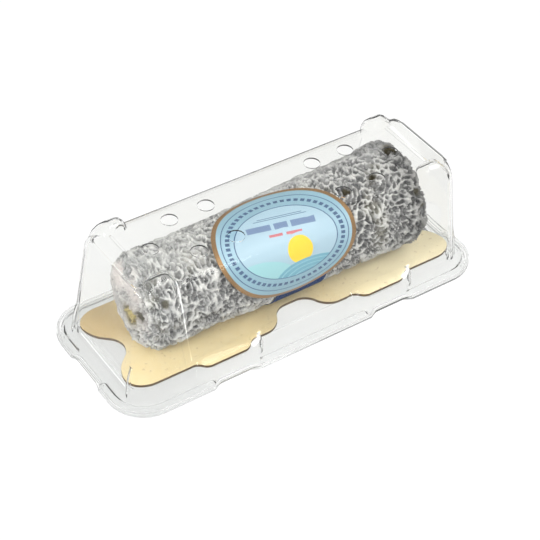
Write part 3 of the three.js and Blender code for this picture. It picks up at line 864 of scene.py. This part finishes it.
gold, tree, shader = new_material("gold_card", {"Metallic": 0.25, "Specular IOR Level": 0.4})
spots = mottle(tree, 14, 420, 0.3)
specks = mottle(tree, 520, 900, 0.3)
card_x, card_y, _ = tree.parts(tree.object_place())
colour = tree.paint(GOLD, GOLD_DEEP, tree.times(spots["Coarse"], 0.6))
colour = tree.paint(colour, GOLD_DUSTY, tree.times(spots["Fine"], 0.3))
# Painted light: paler towards the right.
colour = tree.paint(colour, GOLD_LIT, tree.ramp(card_x, 0.0, 50 * MM, 0, 0.85))
# Painted shade: browner in the back left corner.
back_corner_shade = tree.times(
    tree.ramp(card_x, -55 * MM, -78 * MM), tree.ramp(card_y, -6 * MM, 12 * MM)
)
colour = tree.paint(colour, GOLD_SHADE, tree.times(back_corner_shade, 0.6))
colour = tree.paint(colour, SPECK, tree.ramp(specks["Coarse"], 0.95, 1.0, 0, 0.4))
level = tree.parts(tree.add("ShaderNodeNewGeometry").outputs["Normal"])[2]
cut_edge = tree.ramp(tree.math("ABSOLUTE", level), 0.55, 0.8, 1, 0)
colour = tree.paint(colour, CUT_EDGE, cut_edge)
tree.put(shader.inputs["Base Color"], colour)
tree.put(shader.inputs["Roughness"], tree.ramp(spots["Fine"], 0, 1, 0.36, 0.5))
add_bump(tree, shader, spots["Height"], 0.25, 0.05 * MM)
wear(card, gold, "board")
print("material:", gold.name)

# %% [markdown]
# ## The paper band and the label
# Both are flat paper laid round the log. Each starts as a flat grid, in shares of its
# size, and is then rolled onto the wrap's cylinder. Its thickness is added last.


# %% Rolling paper round the log
def paper_grid(name, columns, rows):
    return new_piece(
        name, bpy.ops.mesh.primitive_grid_add, x_subdivisions=columns, y_subdivisions=rows, size=2
    )


def roll(piece, along, down, middle_angle, radius):
    """Rolls flat paper: along runs on X, down runs over the front of the log."""
    turn_angle = middle_angle + down / radius
    rolled_y = LOG_Y - radius * np.sin(turn_angle)
    rolled_z = WRAP_Z + radius * np.cos(turn_angle)
    set_vertex_array(piece, np.stack([along, rolled_y, rolled_z], axis=1))


def thicken(piece, thickness):
    """Gives rolled paper its thickness, outwards."""
    edit_all(piece)
    bpy.ops.mesh.normals_make_consistent(inside=False)
    finish_edit()
    middle = piece.data.polygons[len(piece.data.polygons) // 2]
    outward = middle.normal.dot(middle.center - Vector((middle.center.x, LOG_Y, WRAP_Z))) > 0
    use_modifier(piece, "SOLIDIFY", thickness=thickness, offset=1 if outward else -1)
    smooth(piece)


# %% The band
NAVY = (0.001, 0.022, 0.10, 1)
NAVY_WORN = (0.001, 0.032, 0.14, 1)

band = paper_grid("band_paper", 24, 64)
flat = vertex_array(band)
band_middle = (band_low.x + band_high.x) / 2
band_x = band_middle + flat[:, 0] * (band_high.x - band_low.x) / 2
band_arc = flat[:, 1] * (BAND_END - BAND_START) * BAND_RADIUS / 2
roll(band, band_x, band_arc, (BAND_START + BAND_END) / 2, BAND_RADIUS)
thicken(band, BAND_THICK)

navy, tree, shader = new_material("navy_paper", {"Roughness": 0.9, "Specular IOR Level": 0.0})
spots = mottle(tree, 60, 900, 0.4)
tree.put(shader.inputs["Base Color"], tree.paint(NAVY, NAVY_WORN, spots["Coarse"]))
add_bump(tree, shader, spots["Height"], 0.2, 0.03 * MM)
wear(band, navy, "band")
print("band:", len(band.data.polygons), "faces")

# %% [markdown]
# ### The label's sheet
# A square grid is squeezed into an oval, so that it has no pole in its middle. The flat
# places are kept as the label's UV map, so that its print can be drawn as on a flat
# sheet, and the oval is then turned a little and rolled.

# %% The label's sheet
PRINT_SPAN = 72 * MM  # the width and height that the UV map's square covers

label = paper_grid("label_paper", 96, 80)
flat = vertex_array(label)
s, t = flat[:, 0], flat[:, 1]
along = LABEL_HALF_LENGTH * s * np.sqrt(1 - t * t / 2)
down = -LABEL_HALF_ARC * t * np.sqrt(1 - s * s / 2)
uv_map = label.data.uv_layers[0]
uv_map.name = "print"
for loop in label.data.loops:
    index = loop.vertex_index
    uv_map.data[loop.index].uv = (0.5 + along[index] / PRINT_SPAN, 0.5 - down[index] / PRINT_SPAN)
turned_along = along * math.cos(LABEL_TURN) - down * math.sin(LABEL_TURN)
turned_down = along * math.sin(LABEL_TURN) + down * math.cos(LABEL_TURN)
outer_share = LABEL_RADIUS / (LABEL_RADIUS + LABEL_THICK)
roll(label, LABEL_X + turned_along, turned_down * outer_share, LABEL_ANGLE, LABEL_RADIUS)
thicken(label, LABEL_THICK)
print("label:", len(label.data.polygons), "faces")

# %% [markdown]
# ### Label print
# The print is drawn with two small node groups. One draws an oval, filled or as a line
# that can be cut into a row of beads. The other draws a straight bar.


# %% The oval group
EDGE_SOFTNESS = 0.12  # millimetres


def inside_edge(tree, distance):
    """1 where a distance in millimetres is below zero."""
    return tree.ramp(distance, -EDGE_SOFTNESS, EDGE_SOFTNESS, 1, 0)


oval_shape, tree, entry, leave = new_group(
    "oval_shape",
    {
        "Vector": None, "Centre X": 0.0, "Centre Y": 0.0, "Radius X": 10.0, "Radius Y": 10.0,
        "Half Width": 0.3, "Beads": 1.0, "Fill": 1.0,
    },
    ["Inside", "Line"],
)
oval_x, oval_y, _ = tree.parts(entry["Vector"])
share_x = tree.math("DIVIDE", tree.math("SUBTRACT", oval_x, entry["Centre X"]), entry["Radius X"])
share_y = tree.math("DIVIDE", tree.math("SUBTRACT", oval_y, entry["Centre Y"]), entry["Radius Y"])
squares = tree.math("ADD", tree.times(share_x, share_x), tree.times(share_y, share_y))
mean = tree.times(tree.math("ADD", entry["Radius X"], entry["Radius Y"]), 0.5)
off_line = tree.times(tree.math("SUBTRACT", tree.math("SQRT", squares), 1), mean)
off_width = tree.math("SUBTRACT", tree.math("ABSOLUTE", off_line), entry["Half Width"])
turn_share = tree.math("DIVIDE", tree.math("ARCTAN2", share_y, share_x), 2 * math.pi)
phase = tree.math("FRACT", tree.times(turn_share, entry["Beads"]))
off_bead = tree.math("ABSOLUTE", tree.math("SUBTRACT", phase, 0.5))
bead = tree.math("LESS_THAN", off_bead, tree.times(entry["Fill"], 0.55))
tree.put(leave["Inside"], inside_edge(tree, off_line))
tree.put(leave["Line"], tree.times(inside_edge(tree, off_width), bead))
print("group:", oval_shape.name)

# %% The bar group
straight_bar, tree, entry, leave = new_group(
    "straight_bar",
    {"Vector": None, "Centre X": 0.0, "Centre Y": 0.0, "Half X": 5.0, "Half Y": 0.5},
    ["Mask"],
)
bar_x, bar_y, _ = tree.parts(entry["Vector"])
in_bar = []
for value, centre, half in ((bar_x, "Centre X", "Half X"), (bar_y, "Centre Y", "Half Y")):
    off_middle = tree.math("ABSOLUTE", tree.math("SUBTRACT", value, entry[centre]))
    in_bar.append(inside_edge(tree, tree.math("SUBTRACT", off_middle, entry[half])))
tree.put(leave["Mask"], tree.times(*in_bar))
print("group:", straight_bar.name)

# %% [markdown]
# ### Label material
# The paper is pale blue, with a painted highlight, a paler band, across its middle. The
# print's places are its UV map in millimetres, with zero in the label's middle.

# %% The label's paper
BLUE = (0.012, 0.055, 0.16, 1)
SLATE = (0.13, 0.20, 0.36, 1)
RED = (0.62, 0.06, 0.06, 1)
BRONZE = (0.30, 0.17, 0.065, 1)
YELLOW = (0.86, 0.58, 0.025, 1)
PAPER = (0.235, 0.395, 0.48, 1)
PAPER_SHEEN_PAINT = (0.325, 0.49, 0.59, 1)
PANEL_BLUE = (0.42, 0.56, 0.66, 1)
FAR_HILL = (0.30, 0.56, 0.60, 1)
NEAR_HILL = (0.14, 0.36, 0.46, 1)
FURROW = (0.45, 0.70, 0.76, 1)

label_print, tree, shader = new_material("label_print", {"Roughness": 0.3, "Specular IOR Level": 0.5})
uv = tree.add("ShaderNodeUVMap", uv_map="print").outputs[0]
centred = tree.vector("SUBTRACT", uv, (0.5, 0.5, 0))
flat_mm = tree.vector("SCALE", centred, PRINT_SPAN / MM)


def oval(centre_x, centre_y, radius_x, radius_y, half_width=0.2, beads=1.0, fill=1.0):
    return tree.use(
        oval_shape, vector=flat_mm, centre_x=centre_x, centre_y=centre_y, radius_x=radius_x,
        radius_y=radius_y, half_width=half_width, beads=beads, fill=fill,
    )


def bar(centre_x, centre_y, half_x, half_y):
    return tree.use(
        straight_bar, vector=flat_mm, centre_x=centre_x, centre_y=centre_y, half_x=half_x, half_y=half_y
    )["Mask"]


height = tree.parts(flat_mm)[1]
# Painted highlight: a paler band across the label's middle.
sheen_mask = tree.ramp(tree.math("ABSOLUTE", tree.math("SUBTRACT", height, 1.0)), 0, 13, 1, 0)
colour = tree.paint(PAPER, PAPER_SHEEN_PAINT, sheen_mask)
panel = oval(0, -0.6, 24.6, 16.0)
colour = tree.paint(colour, PANEL_BLUE, tree.times(panel["Inside"], 0.6))

# %% [markdown]
# Inside the panel is a plain landscape: a sun behind two hills, over furrows, with rows
# of blank blocks in its sky. Round it run a beaded ring between two fine dark blue lines,
# and a gold-brown border.


# %% The label's print
def on_panel(new_colour, mask, share=1.0):
    inside = tree.times(tree.times(mask, panel["Inside"]), share)
    return tree.paint(colour, new_colour, inside)


colour = on_panel(YELLOW, oval(5.5, -5.2, 6.2, 5.8)["Inside"])
colour = on_panel(FAR_HILL, oval(-14, -17.0, 18, 9.5)["Inside"])
colour = on_panel(NEAR_HILL, oval(14, -18.5, 21, 9.6)["Inside"])
for furrow in range(3):
    line = oval(14, -18.5, 19 - 3.4 * furrow, 8.2 - 1.7 * furrow, 0.14)["Line"]
    colour = on_panel(FURROW, line, 0.7)
BARS = (
    # centre X and Y, half X and half Y in millimetres, colour and strength
    (-11.4, 6.4, 5.6, 1.35, SLATE, 0.9),
    (-1.0, 6.4, 3.2, 1.35, SLATE, 0.9),
    (9.6, 6.4, 5.8, 1.35, SLATE, 0.9),
    (-4.6, 2.6, 3.2, 0.6, RED, 0.8),
    (4.2, 2.6, 3.8, 0.6, RED, 0.8),
    (0, 10.0, 12.5, 0.14, BLUE, 0.8),
    (0, 10.8, 10.5, 0.14, BLUE, 0.8),
)
for *sizes, ink, strength in BARS:
    colour = on_panel(ink, bar(*sizes), strength)
RINGS = (
    (0, -0.4, 30.4, 21.9, 0.20),
    (0, -0.5, 27.6, 19.0, 0.85, 56, 0.56),
    (0, -0.6, 24.6, 16.0, 0.20),
)
for ring in RINGS:
    colour = tree.paint(colour, BLUE, tree.times(oval(*ring)["Line"], 0.92))
border = oval(0, 0, 33.9, 25.9, 1.5)["Line"]
colour = tree.paint(colour, BRONZE, border)
tree.put(shader.inputs["Base Color"], colour)
tree.put(shader.inputs["Metallic"], tree.times(border, 0.6))
spots = mottle(tree, 45, 500, 0.2)
add_bump(tree, shader, spots["Height"], 0.15, 0.1 * MM)
wear(label, label_print, "label")
print("material:", label_print.name)

# %% [markdown]
# ## The clear tray and lid
# Both are one thin sheet, drawn down over a mould, so every edge is a soft bend. The
# CAD solids already have both faces of the sheet. A merged copy of each is cleaned of
# its loose triangles and its bends are rounded, which gives them the thin bright and
# dark lines of real clear plastic.


# %% The clear sheets
def clear_copy(node, name, bend):
    source = nodes[node]
    piece = source.copy()
    piece.data = source.data.copy()
    piece.animation_data_clear()
    for key in list(piece.keys()):
        del piece[key]
    piece.parent = None
    bpy.context.scene.collection.objects.link(piece)
    piece.name = name
    piece.data.name = name
    edit_all(piece)
    bpy.ops.mesh.remove_doubles(threshold=0.002 * MM)
    bpy.ops.mesh.dissolve_limited(angle_limit=math.radians(0.5))
    finish_edit()
    use_modifier(
        piece, "BEVEL", width=bend, segments=2, limit_method="ANGLE",
        angle_limit=math.radians(28), use_clamp_overlap=True,
    )
    smooth(piece, 60)
    use_modifier(piece, "WEIGHTED_NORMAL", mode="FACE_AREA", weight=90, keep_sharp=True)
    print(name, "has", len(piece.data.polygons), "faces")
    return piece


tray = clear_copy("tray", "tray_sheet", 0.18 * MM)
lid = clear_copy("lid", "lid_sheet", 0.16 * MM)

# %% [markdown]
# ### A shared group: highlight lines
# The plastic's painted highlights are glowing lines. This group gives a soft mask along
# a straight line between two points, from each place's distance to that line.

# %% The highlight line group
highlight_line, tree, entry, leave = new_group(
    "highlight_line", {"Vector": None, "Start": None, "End": None, "Half Width": 0.4}, ["Mask"]
)
way = tree.vector("SUBTRACT", entry["End"], entry["Start"])
offset = tree.vector("SUBTRACT", entry["Vector"], entry["Start"])
way_dot = tree.vector("DOT_PRODUCT", offset, way, "Value")
way_square = tree.vector("DOT_PRODUCT", way, way, "Value")
way_share = tree.math("DIVIDE", way_dot, way_square, clamp=True)
nearest = tree.vector("SCALE", way, way_share)
off_highlight = tree.vector("DISTANCE", offset, nearest, "Value")
width_share = tree.math("DIVIDE", off_highlight, entry["Half Width"])
tree.put(leave["Mask"], tree.ramp(width_share, 0.4, 1.6, 1, 0))
print("group:", highlight_line.name)

# %% [markdown]
# ### Clear plastic
# The sheet bends light as glass does, with a faint grey tint and the slow ripple of
# drawn plastic. For lamp rays it is simply see-through, so that the light reaches the
# cheese. A very little glowing light of its own stands for the haze in the plastic and
# keeps its edges from going black. Painted highlights, glowing lines at some bends, pads
# and lugs, are brighter spots of that glow.

# %% The plastic material
# Glowing light of the plastic's own: a faint glow for haze, and white painted highlights.
HAZE_GLOW = grey(0.014)
HIGHLIGHT_WHITE = grey(1)
LAMP_TINT = (0.96, 0.97, 0.965, 1)


def clear_plastic(name, tint, left_tint, highlights):
    """A clear sheet. A tint is what one face lets through, left_tint at the left end."""
    material, tree, shader = new_material(name, {
        "Roughness": 0.02, "IOR": 1.22, "Transmission Weight": 1.0, "Emission Strength": 1.0,
    })
    spots = mottle(tree, 45, 160, 0.25)
    add_bump(tree, shader, spots["Height"], 0.25, 0.06 * MM)
    place = tree.object_place()
    at_left = tree.ramp(tree.parts(place)[0], -30 * MM, -75 * MM)
    tree.put(shader.inputs["Base Color"], tree.paint(tint, left_tint, at_left))
    place_mm = tree.vector("SCALE", place, 1 / MM)
    # Painted highlights: glowing white lines along bends, pads and lugs.
    painted_highlight = 0.0
    for start, end, half_width, share in highlights:
        line = tree.use(highlight_line, vector=place_mm, start=start, end=end, half_width=half_width)
        painted_highlight = tree.math("MAXIMUM", tree.times(line["Mask"], share), painted_highlight)
    tree.put(shader.inputs["Emission Color"], tree.paint(HAZE_GLOW, HIGHLIGHT_WHITE, painted_highlight))
    see_through = tree.add("ShaderNodeBsdfTransparent", {"Color": LAMP_TINT})
    lamp_ray = tree.add("ShaderNodeLightPath").outputs["Is Shadow Ray"]
    blend = tree.add("ShaderNodeMixShader", {
        0: lamp_ray, 1: shader.outputs[0], 2: see_through.outputs[0],
    })
    tree.put(material.node_tree.nodes["Material Output"].inputs["Surface"], blend.outputs[0])
    return material


# %% [markdown]
# The lid's long painted highlight comes down its front wall near the left end. Shorter
# ones sit at the pads on the front rim, at the lugs, along the right end's edges and at
# the left end.

# %% The painted highlights and the dressed sheets
TRAY_HIGHLIGHTS = (
    # start and end in millimetres, half width, strength
    ((-85.0, -19.5, 6.2), (-85.0, 19.0, 6.2), 0.3, 0.2),
)
LID_HIGHLIGHTS = (
    ((-64.0, -22.8, 58.5), (-61.6, -24.4, 40.0), 0.34, 0.8),
    ((-61.6, -24.4, 40.0), (-58.4, -26.6, 12.0), 0.26, 0.5),
    ((-64.0, -22.8, 58.5), (-63.4, -23.2, 57.0), 0.65, 0.8),
    ((-79.0, 17.0, 57.0), (-79.0, 4.0, 57.0), 0.3, 0.2),
    ((-87.0, -19.5, 6.2), (-87.0, 17.0, 6.2), 0.5, 0.5),
    ((-24.5, -27.6, 10.8), (-25.7, -29.0, 10.6), 1.1, 0.7),
    ((-25.7, -29.0, 10.6), (-29.0, -29.7, 9.0), 1.0, 0.6),
    ((56.7, -27.6, 10.8), (55.5, -29.0, 10.6), 1.1, 0.7),
    ((55.5, -29.0, 10.6), (52.2, -29.7, 9.0), 1.0, 0.6),
    ((73.5, 13.5, 56.4), (70.8, -13.0, 56.4), 0.8, 0.12),
    ((80.1, 15.0, 56.2), (80.1, -15.0, 56.2), 1.1, 0.22),
    ((67.6, -21.6, 59.3), (72.6, -22.2, 59.3), 0.9, 0.3),
)
TRAY_TINT = (0.855, 0.86, 0.858, 1)
TRAY_TINT_LEFT = (0.755, 0.76, 0.758, 1)
LID_TINT = (0.928, 0.930, 0.917, 1)
LID_TINT_LEFT = (0.936, 0.940, 0.930, 1)

wear(tray, clear_plastic("tray_plastic", TRAY_TINT, TRAY_TINT_LEFT, TRAY_HIGHLIGHTS), "tray")
wear(lid, clear_plastic("lid_plastic", LID_TINT, LID_TINT_LEFT, LID_HIGHLIGHTS), "lid")
print("creases:", len(TRAY_HIGHLIGHTS) + len(LID_HIGHLIGHTS))

# %% [markdown]
# ## Floor and light
# The photograph is a cut-out on white. The floor is a plain white sheet that gives a
# little light of its own, and less of it where it is mirrored, so that the plastic's
# outside reflections stay faint.

# %% Floor
FLOOR_GLOW = 0.88
MIRRORED_LOSS = 0.7

floor = new_piece("floor", bpy.ops.mesh.primitive_plane_add, size=4)
white, tree, shader = new_material("white_floor", {
    "Base Color": grey(0.15), "Roughness": 0.9, "Emission Color": grey(1.0),
})
ray = tree.add("ShaderNodeLightPath").outputs
mirrored = tree.times(ray["Is Glossy Ray"], tree.math("SUBTRACT", 1.0, ray["Is Transmission Ray"]))
kept_glow = tree.math("SUBTRACT", 1.0, tree.times(mirrored, MIRRORED_LOSS))
tree.put(shader.inputs["Emission Strength"], tree.times(kept_glow, FLOOR_GLOW))
floor.data.materials.append(white)
print("floor:", floor.name)

# %% [markdown]
# Two soft boxes light the pack from the left and from the front, under a plain sky that
# is paler towards its top.

# %% Light
SKY_LOW = grey(0.42)
SKY_TOP = grey(0.62)
LIGHT_AIM = Vector((0, 0, 0.02))

world = bpy.data.worlds.new("studio")
bpy.context.scene.world = world
world.use_nodes = True
tree = Tree(world.node_tree)
sky_height = tree.parts(tree.add("ShaderNodeTexCoord").outputs["Generated"])[2]
sky = tree.paint(SKY_LOW, SKY_TOP, tree.ramp(sky_height, 0.05, 0.75))
tree.put(world.node_tree.nodes["Background"].inputs["Color"], sky)


def soft_box(name, place, size, power):
    light = bpy.data.lights.new(name, "AREA")
    light.shape = "RECTANGLE"
    light.size, light.size_y = size
    light.energy = power
    lamp = bpy.data.objects.new(name, light)
    lamp.location = place
    lamp.rotation_euler = (LIGHT_AIM - Vector(place)).to_track_quat("-Z", "Y").to_euler()
    bpy.context.scene.collection.objects.link(lamp)


soft_box("key_box", (-0.75, -0.22, 0.55), (0.25, 0.25), 3.8)
soft_box("fill_box", (0.15, -0.62, 0.78), (0.5, 0.4), 3.4)
bpy.context.scene.view_settings.view_transform = "Standard"
print("lamps:", len(bpy.data.lights))
